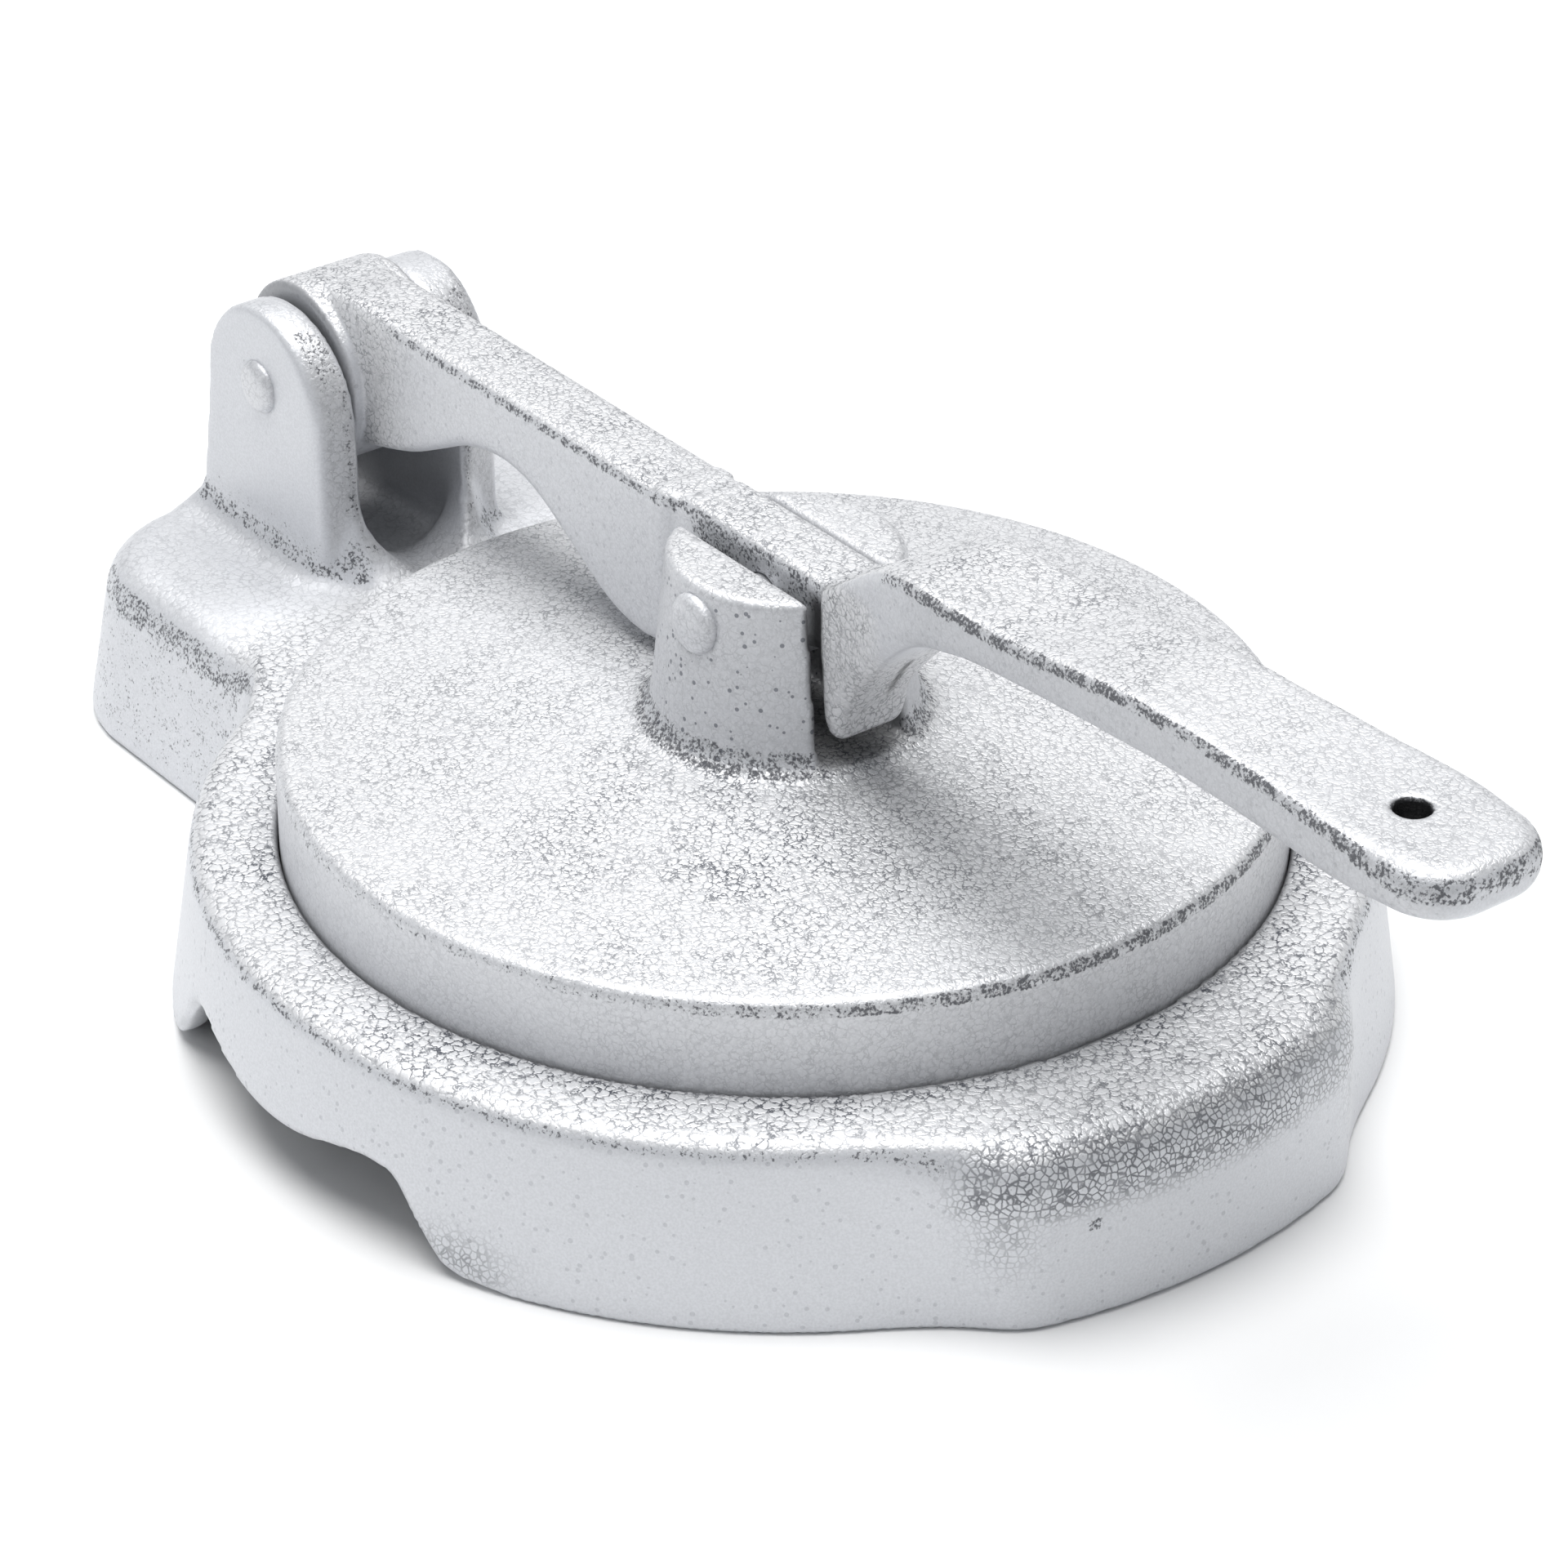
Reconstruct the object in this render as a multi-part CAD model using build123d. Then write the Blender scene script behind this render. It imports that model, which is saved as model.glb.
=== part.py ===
from build123d import *
import math
import os

os.makedirs("parts", exist_ok=True)

# Burger press: a round mould with a hinged lever and a press plate.
# Millimetres. Origin: axis of the round mould, on the surface the press
# stands on. +X runs from the rear hinge to the handle tip, +Z is up, and
# the press is symmetric about the plane y = 0. Rest pose: lever closed.

# ---------------------------------------------------------------- dimensions
# base casting
SKIRT_R = 67.7          # skirt radius at the floor
RING_R = 64.9           # ring radius where the drafted skirt reaches the top
RING_Z = 21.0           # height of the flat ring top
RING_ROUND = 2.4        # rounded outer edge of the ring top
BORE_R = 55.9           # mould bore at its mouth
BORE_R_LOW = 55.6       # mould bore at the dish floor
DISH_Z = 15.0           # dish floor, upper face
DISH_T = 4.0            # dish floor thickness
SKIRT_T = 3.6           # skirt wall thickness

LOBE_R = 71.3           # front lobe, outer radius
LOBE_CORNER = (67.4, 22.7)      # where the lobe's arc meets its slanted sides
LOBE_SIDE = (61.3, 27.8)        # where those sides run out on the skirt
LOBE_ROUND = 4.6        # rounded top edge of the lobe

PLINTH_X = -105.5       # rear end of the plinth at the floor
PLINTH_HALF = 33.2      # half width of the plinth at the floor
PLINTH_CORNER = 18.0    # rear corner radius at the floor
PLINTH_DRAFT = 9.7      # wall draft, degrees
PLINTH_ROUND = 3.0      # rounded upper edge

PIN_X, PIN_Z = -84.6, 42.2      # lever hinge axis
EAR_IN, EAR_OUT = 7.2, 12.3     # inner and outer faces of the clevis ears
EAR_CX, EAR_CZ, EAR_R = -84.2, 40.0, 12.0
BACK_X0, BACK_X1, BACK_Z = -99.0, -95.4, 32.0   # low wall that closes the clevis at the rear
PIN_R = 2.6
PIN_HEAD_R = 3.2
PIN_HEAD_T = 0.9

# lever casting
HUB_R = 11.2
HUB_HALF = 6.6
BEAM_HALF = 4.8
WEB_HALF = 4.0
HANDLE_HALF = 7.5
TIP_HALF = 8.9
TIP_X = 107.9
TIP_CORNER = 6.5
HANG_X, HANG_R = 95.4, 1.85
RUN_CLEAR = 0.05        # radial running clearance on both pins

# press plate
PLATE_R = 55.0
PLATE_TOP = 31.5        # upper edge of the rim
PLATE_LOW = 15.5        # lower edge of the rim
PLATE_CROWN = 33.9      # height of the shallow cone at the post foot
RECESS_R = 49.5
RECESS_Z = 25.6
POST_R_LOW = 14.4
POST_R_TOP = 12.8
POST_Z = 53.6
SLOT_HALF = 5.7
SLOT_Z = 35.4
PLATE_PIN_X, PLATE_PIN_Z = 1.0, 49.0
PLATE_PIN_R = 2.8
PLATE_PIN_HEAD_R = 3.4


def xz_profile(pts, half):
    """Solid from a closed x-z outline, extruded to y = -half .. +half."""
    with BuildPart() as p:
        with BuildSketch(Plane.XZ):
            with BuildLine():
                Polyline(*pts, close=True)
            make_face()
        extrude(amount=half, both=True)
    return p.part


def y_cyl(x, z, r, y0, y1):
    """Cylinder along Y from y0 to y1."""
    return Pos(x, (y0 + y1) / 2, z) * Rot(90, 0, 0) * Cylinder(r, abs(y1 - y0))


# ------------------------------------------------------------- base casting
with BuildPart() as ring_b:
    with BuildSketch(Plane.XZ):
        with BuildLine():
            Polyline(
                (0, DISH_Z - DISH_T), (0, DISH_Z), (BORE_R_LOW, DISH_Z),
                (BORE_R, RING_Z - 0.5), (BORE_R + 0.5, RING_Z),
                (RING_R - 0.3, RING_Z), (SKIRT_R, 0),
                (SKIRT_R - SKIRT_T, 0),
                (SKIRT_R - SKIRT_T - 1.9, DISH_Z - DISH_T),
                close=True,
            )
        make_face()
        v = [q for q in vertices() if abs(q.Z - RING_Z) < 0.01 and q.X > RING_R - 1]
        v += [q for q in vertices() if abs(q.Y - RING_Z) < 0.01 and q.X > RING_R - 1]
        fillet(v[:1], RING_ROUND)
    revolve(axis=Axis.Z)
ring = ring_b.part

# front lobe: a thick bump under the handle, concentric with the mould
with BuildPart() as lobe_b:
    with BuildSketch(Plane.XZ):
        with BuildLine():
            Polyline((62.0, 0), (LOBE_R + 0.3, 0), (LOBE_R, RING_Z), (62.0, RING_Z),
                     close=True)
        make_face()
        fillet([q for q in vertices() if q.X > LOBE_R - 1 and max(q.Y, q.Z) > 10],
               LOBE_ROUND)
    revolve(axis=Axis.Z)
side_dx = (LOBE_SIDE[0] - LOBE_CORNER[0]) / (LOBE_SIDE[1] - LOBE_CORNER[1])


def lobe_side_y(x):
    """Half width of the lobe's slanted sides at x."""
    return LOBE_CORNER[1] + (x - LOBE_CORNER[0]) / side_dx


with BuildPart() as clip_b:
    with BuildSketch(Plane.XY.offset(-1)):
        with BuildLine():
            Polyline((50, -lobe_side_y(50)), (73, -lobe_side_y(73)), (73, lobe_side_y(73)),
                     (50, lobe_side_y(50)), close=True)
        make_face()
    extrude(amount=RING_Z + 2)
lobe = lobe_b.part & clip_b.part

# rear plinth: drafted block that carries the clevis
with BuildPart() as plinth_b:
    with BuildSketch(Plane.XY):
        with Locations(((PLINTH_X - 40) / 2, 0)):
            Rectangle(-40 - PLINTH_X, 2 * PLINTH_HALF)
        rear = [q for q in vertices() if q.X < PLINTH_X + 1]
        fillet(rear, PLINTH_CORNER)
    extrude(amount=RING_Z, taper=PLINTH_DRAFT)
    top = [e for e in plinth_b.edges()
           if abs(e.center().Z - RING_Z) < 0.01 and e.center().X < -50]
    fillet(top, PLINTH_ROUND)
plinth = plinth_b.part

# hollow under the plinth, open at the bottom
with BuildPart() as plinth_core:
    with BuildSketch(Plane.XY):
        with Locations(((PLINTH_X + 5.0 - 50) / 2, 0)):
            Rectangle(-50 - PLINTH_X - 5.0, 2 * PLINTH_HALF - 10.0)
        rear = [q for q in vertices() if q.X < PLINTH_X + 6]
        fillet(rear, PLINTH_CORNER - 5.0)
    extrude(amount=15.0, taper=PLINTH_DRAFT)
core = plinth_core.part - Pos(0, 0, 7.5) * Cylinder(SKIRT_R, 15.2)
plinth_shell = plinth - core - Pos(0, 0, RING_Z / 2) * Cylinder(62.0, RING_Z + 2)


# clevis: two upright ears with round tops on the plinth
def tangent_point(px, pz, side):
    """Point where a line from (px, pz) touches the ear's round top."""
    dx, dz = px - EAR_CX, pz - EAR_CZ
    d = math.hypot(dx, dz)
    base_a = math.atan2(dz, dx)
    off = math.acos(EAR_R / d)
    ang = base_a + side * off
    return (EAR_CX + EAR_R * math.cos(ang), EAR_CZ + EAR_R * math.sin(ang))


EAR_REAR = (-99.2, RING_Z - 1.0)
EAR_FRONT = (-71.0, RING_Z - 1.0)
t_rear = tangent_point(*EAR_REAR, -1)
t_front = tangent_point(*EAR_FRONT, 1)


def ear_blank(half):
    with BuildPart() as p:
        with BuildSketch(Plane.XZ):
            with BuildLine():
                Line(EAR_REAR, t_rear)
                ThreePointArc(t_rear, (EAR_CX, EAR_CZ + EAR_R), t_front)
                Line(t_front, EAR_FRONT)
                Line(EAR_FRONT, EAR_REAR)
            make_face()
        extrude(amount=half, both=True)
    return p.part


clevis = ear_blank(EAR_OUT) - Pos(EAR_CX, 0, RING_Z + 40) * Box(60, 2 * EAR_IN, 84)
rims = [e for e in clevis.edges()
        if abs(abs(e.center().Y) - (EAR_IN + EAR_OUT) / 2) > 2 and e.center().Z > RING_Z
        and e.length > 12]
clevis = clevis.fillet(1.3, rims)

base = ring + lobe + plinth_shell
base = base + clevis
# the round hollow stays clear of the plinth's walls
base = base - Pos(0, 0, (DISH_Z - DISH_T) / 2 - 0.5) * Cone(
    SKIRT_R - SKIRT_T + 0.17, SKIRT_R - SKIRT_T - 1.9, DISH_Z - DISH_T + 1.0)

# arches in the skirt, one on each side
ARCH = [(-32.5, -1), (-31.0, 0.1), (-28.6, 0.9), (-26.0, 3.2), (-23.6, 6.4), (-21.4, 8.8),
        (-18.5, 9.3), (-14.3, 8.3), (-9.2, 7.4), (-3.7, 6.8), (2.4, 7.1), (8.4, 8.5),
        (13.0, 9.3), (16.6, 9.0), (18.9, 6.9), (21.9, 3.2), (24.7, 0.9), (28.2, 0.1),
        (30.0, -1)]
arch = xz_profile(ARCH, 80.0)
arch = arch - Pos(0, 0, 5) * Box(120, 100, 30)
base = base - arch
base = base - y_cyl(PIN_X, PIN_Z, PIN_R, -20, 20)

# soft junctions: plinth walls to skirt, clevis feet to plinth
walls = [e for e in base.edges()
         if -62 < e.center().X < -55 and 26 < abs(e.center().Y) < 36
         and 5 < e.center().Z < 16 and e.length > 14]
base = base.fillet(6.0, walls)
feet = [e for e in base.edges()
        if -86 < e.center().X < -70 and abs(e.center().Z - RING_Z) < 0.05
        and 7 < abs(e.center().Y) < 12.5]
base = base.fillet(3.5, feet)
# the clevis is closed at the rear by a low wall
back_wall = Pos((BACK_X0 + BACK_X1) / 2, 0, (RING_Z - 2 + BACK_Z) / 2) * Box(
    BACK_X1 - BACK_X0, 2 * EAR_IN + 2.0, BACK_Z - RING_Z + 2)
back_wall = back_wall & ear_blank(EAR_OUT)
base_part = base + back_wall

# --------------------------------------------------------------- hinge pin
hinge_pin = y_cyl(PIN_X, PIN_Z, PIN_R, -EAR_OUT - 0.2, EAR_OUT + 0.2)
for s in (1, -1):
    head = y_cyl(PIN_X, PIN_Z, PIN_HEAD_R, s * EAR_OUT, s * (EAR_OUT + PIN_HEAD_T))
    outer = [q for q in head.edges() if abs(abs(q.center().Y) - EAR_OUT - PIN_HEAD_T) < 0.01]
    head = head.fillet(0.6, outer)
    hinge_pin = hinge_pin + head

# ------------------------------------------------------------ lever casting
hub = y_cyl(PIN_X, PIN_Z, HUB_R, -HUB_HALF, HUB_HALF)
with BuildPart() as beam_b:
    with BuildSketch(Plane.XZ):
        with BuildLine():
            Line((-84.6, 53.3), (-76.0, 54.4))
            Line((-76.0, 54.4), (-15.0, 54.5))
            Line((-15.0, 54.5), (-15.0, 36.3))
            Spline((-15.0, 36.3), (-20.0, 35.3), (-26.5, 36.8), (-34.0, 41.1),
                   (-40.5, 44.6), (-47.0, 45.7), (-54.0, 44.3), (-60.0, 41.4),
                   (-66.0, 38.6), (-75.0, 36.0), (-84.6, 34.0))
            Line((-84.6, 34.0), (-84.6, 53.3))
        make_face()
    extrude(amount=BEAM_HALF, both=True)
beam = beam_b.part
web = xz_profile(
    [(-16.0, 54.5), (-12.5, 55.2), (12.6, 55.3), (12.6, 46.6), (10.6, 46.9),
     (8.5, 46.3), (6.0, 44.4), (2.5, 41.4), (-2.0, 39.0), (-8.0, 37.3),
     (-16.0, 36.2)],
    WEB_HALF,
)
# the nose in front of the post and the handle share one side outline
with BuildPart() as side_b:
    with BuildSketch(Plane.XZ):
        with BuildLine():
            Polyline((12.3, 55.3), (12.3, 46.0), (12.5, 42.6), (12.8, 40.0),
                     (13.3, 38.4), (14.2, 37.6), (15.0, 38.2), (15.3, 39.6),
                     (15.6, 41.2))
            Spline((15.6, 41.2), (16.5, 42.8), (17.8, 44.7), (19.7, 47.2),
                   (21.7, 49.5), (23.7, 51.6), (26.3, 54.1), (28.7, 56.1),
                   (30.9, 57.3), (33.1, 58.2), (35.5, 58.8), (40.5, 59.8),
                   (54.0, 60.8), (66.0, 61.4), (80.0, 61.6))
            Line((80.0, 61.6), (TIP_X + 1, 61.6))
            Line((TIP_X + 1, 61.6), (TIP_X + 1, 67.3))
            Line((TIP_X + 1, 67.3), (74.0, 67.3))
            Spline((74.0, 67.3), (64.0, 67.1), (54.0, 66.1), (46.0, 65.1), (38.0, 64.7),
                   (32.0, 64.6), (28.5, 64.4), (26.0, 63.9), (23.3, 62.8),
                   (21.0, 61.4), (18.3, 59.5), (16.0, 57.8), (12.3, 55.3))
        make_face()
    extrude(amount=12.0, both=True)
handle_side = side_b.part
with BuildPart() as plan_b:
    with BuildSketch(Plane.XY.offset(30)):
        with BuildLine():
            Polyline((12.0, -5.0), (16.0, -5.3), (21.0, -6.0), (26.0, -6.8),
                     (33.0, -HANDLE_HALF), (72.0, -HANDLE_HALF), (83.0, -7.9),
                     (97.0, -TIP_HALF),
                     (TIP_X, -TIP_HALF + 0.3), (TIP_X, TIP_HALF - 0.3),
                     (97.0, TIP_HALF), (83.0, 7.9), (72.0, HANDLE_HALF), (33.0, HANDLE_HALF),
                     (26.0, 6.8), (21.0, 6.0), (16.0, 5.3), (12.0, 5.0),
                     close=True)
        make_face()
        tipv = [q for q in vertices() if q.X > TIP_X - 0.5]
        fillet(tipv, TIP_CORNER)
    extrude(amount=50)
# seen from the front the nose is a narrow tongue that widens into the handle
with BuildPart() as section_b:
    with BuildSketch(Plane.YZ.offset(10)):
        with BuildLine():
            Polyline((-2.2, 37.6), (-3.9, 38.6), (-4.8, 40.3), (-5.0, 42.5),
                     (-5.0, 46.0), (-7.5, 58.0), (-9.2, 61.4), (-9.2, 69.0),
                     (9.2, 69.0), (9.2, 61.4), (7.5, 58.0), (5.0, 46.0),
                     (5.0, 42.5), (4.8, 40.3), (3.9, 38.6), (2.2, 37.6),
                     close=True)
        make_face()
    extrude(amount=100)
handle = handle_side & plan_b.part & section_b.part
beam = beam.fillet(1.2, [e for e in beam.edges()
                         if abs(abs(e.center().Y) - BEAM_HALF) < 0.01 and e.length > 20])
hub = hub.fillet(1.2, [e for e in hub.edges() if e.geom_type == GeomType.CIRCLE])
lever = hub + beam + web + handle
lever = lever - y_cyl(PIN_X, PIN_Z, PIN_R + RUN_CLEAR, -20, 20)
lever = lever - y_cyl(PLATE_PIN_X, PLATE_PIN_Z, PLATE_PIN_R + RUN_CLEAR, -20, 20)
lever = lever - Pos(HANG_X, 0, 64) * Cylinder(HANG_R, 20)

# -------------------------------------------------------------- press plate
with BuildPart() as plate_b:
    with BuildSketch(Plane.XZ):
        with BuildLine():
            Polyline(
                (0, RECESS_Z), (RECESS_R - 1.5, RECESS_Z), (RECESS_R, RECESS_Z - 1.5),
                (RECESS_R + 0.4, PLATE_LOW), (PLATE_R - 0.9, PLATE_LOW),
                (PLATE_R - 0.35, PLATE_LOW + 1.0), (PLATE_R, PLATE_LOW + 4.0),
                (PLATE_R, PLATE_TOP - 0.8), (PLATE_R - 0.8, PLATE_TOP),
                (POST_R_LOW + 3.2, PLATE_CROWN), (POST_R_LOW + 1.4, PLATE_CROWN + 0.6),
                (POST_R_LOW + 0.4, PLATE_CROWN + 1.6), (POST_R_LOW, PLATE_CROWN + 3.1),
                (POST_R_TOP + 0.1, POST_Z - 0.5), (POST_R_TOP - 0.4, POST_Z),
                (0, POST_Z), close=True,
            )
        make_face()
    revolve(axis=Axis.Z)
plate = plate_b.part
plate = plate - Pos(0, 0, SLOT_Z + 15) * Box(60, 2 * SLOT_HALF, 30)
plate = plate - y_cyl(PLATE_PIN_X, PLATE_PIN_Z, PLATE_PIN_R, -20, 20)

POST_FACE = 13.15
plate_pin = y_cyl(PLATE_PIN_X, PLATE_PIN_Z, PLATE_PIN_R, -POST_FACE, POST_FACE)
for s in (1, -1):
    head = y_cyl(PLATE_PIN_X, PLATE_PIN_Z, PLATE_PIN_HEAD_R, s * (POST_FACE - 0.8), s * (POST_FACE + 0.95))
    outer = [q for q in head.edges() if abs(abs(q.center().Y) - POST_FACE - 0.95) < 0.01]
    head = head.fillet(0.6, outer)
    plate_pin = plate_pin + head
# the heads are peened down onto the tapered post
plate_pin = plate_pin - plate
plate_pin = max(plate_pin.solids(), key=lambda q: q.volume)

# -------------------------------------------------------------------- export
PARTS = {
    "base_casting": base_part,
    "hinge_pin": hinge_pin,
    "lever_casting": lever,
    "press_plate": plate,
    "plate_pin": plate_pin,
}
for name, shape in PARTS.items():
    if isinstance(shape, Compound) and len(shape.solids()) == 1:
        shape = shape.solids()[0]
    export_step(shape, f"parts/{name}.step")
    bb = shape.bounding_box()
    print(name, "solids", len(shape.solids()), "vol", round(shape.volume / 1000, 1),
          [round(v, 1) for v in (bb.min.X, bb.min.Y, bb.min.Z, bb.max.X, bb.max.Y, bb.max.Z)])
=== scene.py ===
import math

import bmesh
import bpy
import numpy as np
from mathutils import Matrix, Vector


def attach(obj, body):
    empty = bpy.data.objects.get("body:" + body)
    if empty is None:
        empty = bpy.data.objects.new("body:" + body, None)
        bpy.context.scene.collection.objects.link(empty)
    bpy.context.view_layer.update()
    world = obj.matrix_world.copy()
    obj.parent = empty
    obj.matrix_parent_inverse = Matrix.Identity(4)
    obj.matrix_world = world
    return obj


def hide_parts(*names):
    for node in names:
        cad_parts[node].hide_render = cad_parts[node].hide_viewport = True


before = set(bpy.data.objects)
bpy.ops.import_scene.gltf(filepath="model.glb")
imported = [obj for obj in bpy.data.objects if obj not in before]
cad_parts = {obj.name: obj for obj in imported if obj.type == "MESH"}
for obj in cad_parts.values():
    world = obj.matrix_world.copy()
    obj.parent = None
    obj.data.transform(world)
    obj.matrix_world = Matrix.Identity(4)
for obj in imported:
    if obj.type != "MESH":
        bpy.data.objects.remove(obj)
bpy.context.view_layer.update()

# ======================================================================
# Signed distance shapes, in millimetres, evaluated on grids. Cast edges and
# junctions come out soft because the pieces are joined and cut smoothly.
# ======================================================================


def smax(a, b, k):
    """Smooth maximum: intersection with a rounded edge."""
    h = np.maximum(k - np.abs(a - b), 0.0) / k
    return np.maximum(a, b) + h * h * k * 0.25


def smin(a, b, k):
    """Smooth minimum: union with a fillet."""
    h = np.maximum(k - np.abs(a - b), 0.0) / k
    return np.minimum(a, b) - h * h * k * 0.25


def ease(lo, hi, v):
    """0 below lo, 1 above hi, smooth between."""
    t = np.clip((v - lo) / (hi - lo), 0.0, 1.0)
    return t * t * (3 - 2 * t)


def poly_sd(px, pz, pts):
    """Signed distance to a closed polygon in a plane."""
    pts = np.asarray(pts, np.float32)
    d = np.full(px.shape, 1e9, np.float32)
    inside = np.zeros(px.shape, bool)
    n = len(pts)
    for i in range(n):
        ax, az = pts[i]
        bx, bz = pts[(i + 1) % n]
        ex, ez = bx - ax, bz - az
        wx, wz = px - ax, pz - az
        t = np.clip((wx * ex + wz * ez) / (ex * ex + ez * ez), 0, 1)
        qx, qz = wx - ex * t, wz - ez * t
        d = np.minimum(d, qx * qx + qz * qz)
        c = (az > pz) != (bz > pz)
        if abs(ez) > 1e-9:
            inside ^= c & (px < (pz - az) * ex / ez + ax)
    d = np.sqrt(d)
    return np.where(inside, -d, d)


def spline(pts, n=12):
    """Open Catmull-Rom curve through the points."""
    p = np.asarray(pts, float)
    p = np.vstack([2 * p[0] - p[1], p, 2 * p[-1] - p[-2]])
    out = []
    for i in range(1, len(p) - 2):
        for t in np.linspace(0, 1, n, endpoint=False):
            a, b, c, d = p[i - 1], p[i], p[i + 1], p[i + 2]
            out.append(0.5 * ((2 * b) + (-a + c) * t + (2 * a - 5 * b + 4 * c - d) * t * t
                              + (-a + 3 * b - 3 * c + d) * t ** 3))
    out.append(p[-2])
    return np.array(out)


class Grid:
    def __init__(self, lo, hi, step):
        self.lo = np.asarray(lo, np.float32)
        self.step = step
        self.n = [int(math.ceil((b - a) / step)) + 1 for a, b in zip(lo, hi)]
        ax = [self.lo[i] + step * np.arange(self.n[i], dtype=np.float32) for i in range(3)]
        self.ax = ax
        self.x = ax[0][:, None, None]
        self.y = ax[1][None, :, None]
        self.z = ax[2][None, None, :]


def surface_net(g, field):
    """Vertices and quads of the zero level of a field on a grid."""
    s = field < 0
    nx, ny, nz = field.shape
    vid = np.full((nx - 1, ny - 1, nz - 1), -1, np.int64)
    corner = [s[i:nx - 1 + i, j:ny - 1 + j, k:nz - 1 + k]
              for i in (0, 1) for j in (0, 1) for k in (0, 1)]
    any_in = np.zeros_like(corner[0])
    all_in = np.ones_like(corner[0])
    for c in corner:
        any_in |= c
        all_in &= c
    cell = any_in & ~all_in
    ids = np.argwhere(cell)
    vid[cell] = np.arange(len(ids))
    acc = np.zeros((len(ids), 3), np.float64)
    cnt = np.zeros(len(ids), np.float64)
    i, j, k = ids.T
    for a in range(3):
        for u in (0, 1):
            for v in (0, 1):
                o0 = [0, 0, 0]
                o1 = [0, 0, 0]
                others = [q for q in range(3) if q != a]
                o0[others[0]] = o1[others[0]] = u
                o0[others[1]] = o1[others[1]] = v
                o1[a] = 1
                f0 = field[i + o0[0], j + o0[1], k + o0[2]].astype(np.float64)
                f1 = field[i + o1[0], j + o1[1], k + o1[2]].astype(np.float64)
                hit = (f0 < 0) != (f1 < 0)
                t = np.where(hit, f0 / np.where(hit, f0 - f1, 1), 0)
                p = np.tile(np.array(o0, float), (len(ids), 1))
                p[:, a] += t
                acc[hit] += p[hit]
                cnt[hit] += 1
    verts = (ids + acc / cnt[:, None]) * g.step + g.lo
    quads = []
    for a in range(3):
        b, c = [(1, 2), (2, 0), (0, 1)][a]
        sl0 = [slice(None)] * 3
        sl1 = [slice(None)] * 3
        sl0[a] = slice(0, -1)
        sl1[a] = slice(1, None)
        s0, s1 = s[tuple(sl0)], s[tuple(sl1)]
        cross = s0 != s1
        e = np.argwhere(cross)
        e = e[(e[:, b] > 0) & (e[:, c] > 0) & (e[:, b] < field.shape[b] - 1)
              & (e[:, c] < field.shape[c] - 1)]
        ins = s0[tuple(e.T)]

        def at(db, dc):
            q = e.copy()
            q[:, b] += db
            q[:, c] += dc
            return vid[tuple(q.T)]

        q = np.stack([at(-1, -1), at(0, -1), at(0, 0), at(-1, 0)], 1)
        q = np.where(ins[:, None], q, q[:, ::-1])
        quads.append(q)
    return verts, np.vstack(quads)


def sample(g, field, p):
    """Trilinear value of the field at points."""
    q = (p - g.lo) / g.step
    i = np.clip(np.floor(q).astype(int), 0, np.array(field.shape) - 2)
    f = q - i
    out = np.zeros(len(p))
    for a in (0, 1):
        for b in (0, 1):
            for c in (0, 1):
                w = ((f[:, 0] if a else 1 - f[:, 0]) * (f[:, 1] if b else 1 - f[:, 1])
                     * (f[:, 2] if c else 1 - f[:, 2]))
                out += w * field[i[:, 0] + a, i[:, 1] + b, i[:, 2] + c]
    return out


def pull_in(g, field, verts, rounds=3):
    """Slides vertices on to the zero level."""
    h = g.step * 0.5
    for _ in range(rounds):
        f = sample(g, field, verts)
        gr = np.stack([
            sample(g, field, verts + np.array(d) * h) - sample(g, field, verts - np.array(d) * h)
            for d in ((1, 0, 0), (0, 1, 0), (0, 0, 1))], 1) / (2 * h)
        gn = np.maximum((gr ** 2).sum(1), 0.25)
        step = -(f / gn)[:, None] * gr
        ln = np.linalg.norm(step, axis=1)
        step *= np.minimum(1, 0.4 * g.step / np.maximum(ln, 1e-9))[:, None]
        verts = verts + step
    return verts


def slope(g, field, verts, h):
    gr = np.stack([
        sample(g, field, verts + np.array(d) * h) - sample(g, field, verts - np.array(d) * h)
        for d in ((1, 0, 0), (0, 1, 0), (0, 0, 1))], 1)
    return gr / np.maximum(np.linalg.norm(gr, axis=1), 1e-9)[:, None]


def put(me, values):
    """Stores per-point numbers that steer the paint."""
    for key, val in values.items():
        a = me.attributes.new(key, "FLOAT", "POINT")
        a.data.foreach_set("value", np.asarray(val, np.float32))


def to_object(name, g, field, paint, relax=2):
    verts, quads = surface_net(g, field)
    # a little relaxing keeps the quads even, then back on to the surface
    for _ in range(relax):
        s = np.zeros_like(verts)
        c = np.zeros(len(verts))
        for a, b in ((0, 1), (1, 2), (2, 3), (3, 0)):
            np.add.at(s, quads[:, a], verts[quads[:, b]])
            np.add.at(c, quads[:, a], 1)
            np.add.at(s, quads[:, b], verts[quads[:, a]])
            np.add.at(c, quads[:, b], 1)
        verts = 0.5 * verts + 0.5 * s / np.maximum(c, 1)[:, None]
        verts = pull_in(g, field, verts, 1)
    verts = pull_in(g, field, verts, 2)
    me = bpy.data.meshes.new(name)
    me.vertices.add(len(verts))
    me.vertices.foreach_set("co", (verts / 1000.0).astype(np.float32).ravel())
    me.loops.add(quads.size)
    me.loops.foreach_set("vertex_index", quads.astype(np.int32).ravel())
    me.polygons.add(len(quads))
    me.polygons.foreach_set("loop_start", np.arange(0, quads.size, 4, dtype=np.int32))
    me.polygons.foreach_set("use_smooth", np.ones(len(quads), bool))
    me.update(calc_edges=True)
    put(me, paint(verts, slope(g, field, verts, g.step * 0.7)))
    ob = bpy.data.objects.new(name, me)
    bpy.context.scene.collection.objects.link(ob)
    print("made", name, len(verts), "vertices")
    return ob


def y_slab(g, half):
    return np.abs(g.y) - half


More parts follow.
